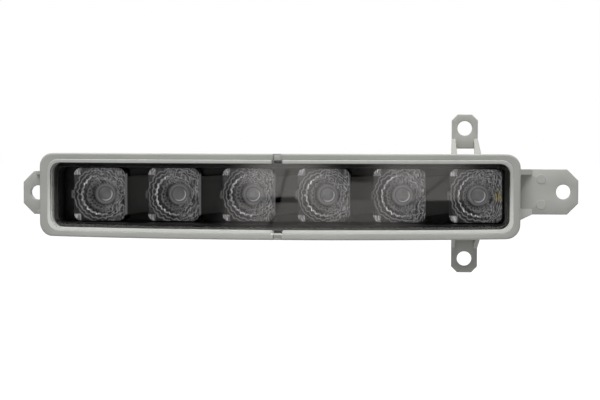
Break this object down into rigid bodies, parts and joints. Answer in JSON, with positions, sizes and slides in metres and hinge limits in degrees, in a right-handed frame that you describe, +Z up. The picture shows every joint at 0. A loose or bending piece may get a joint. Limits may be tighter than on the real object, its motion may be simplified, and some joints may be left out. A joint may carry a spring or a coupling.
{
  "type": "daytime running light",
  "caption": "Slim bumper lamp with a bowed clear lens, a row of square collimators in a black bezel, and a grey housing with screw ears and a plug socket.",
  "frame": {"origin": "midway between the upper and lower fixing holes, on the plane that the ears seat on", "axes": "+X along the lamp towards the long ear, -Y out of the face, +Z up as the lamp is fitted"},
  "size_m": [0.2469, 0.0642, 0.0694],
  "materials": {
    "housing_grey": "moulded, fine grain",
    "lens_clear": "clear, polished",
    "seal_black": "matt bead",
    "bezel_black": "satin",
    "optic_clear": "clear, polished",
    "led_phosphor": "yellow phosphor",
    "board_mask": "solder mask",
    "component_black": "moulded",
    "coil_ferrite": "sintered",
    "capacitor_tan": "fired",
    "pad_pink": "soft",
    "spreader_aluminium": "rolled",
    "screw_steel": "zinc plated",
    "pin_tinned": "tinned",
    "vent_black": "moulded",
    "membrane_white": "porous film"
  },
  "bodies": {
    "root": {"housing": "housing_grey", "outer_lens": "lens_clear", "lens_seal": "seal_black", "bezel": "bezel_black", "optic_1": "optic_clear", "optic_2": "optic_clear", "optic_3": "optic_clear", "optic_4": "optic_clear", "optic_5": "optic_clear", "optic_6": "optic_clear", "led_1": "led_phosphor", "led_2": "led_phosphor", "led_3": "led_phosphor", "led_4": "led_phosphor", "led_5": "led_phosphor", "led_6": "led_phosphor", "circuit_board": "board_mask", "driver_chip": "component_black", "driver_coil": "coil_ferrite", "power_diode": "component_black", "capacitors": "capacitor_tan", "thermal_pad": "pad_pink", "heat_spreader": "spreader_aluminium", "board_screws": "screw_steel", "connector_pins": "pin_tinned", "vent_cap": "vent_black", "vent_membrane": "membrane_white"}
  },
  "joints": []
}
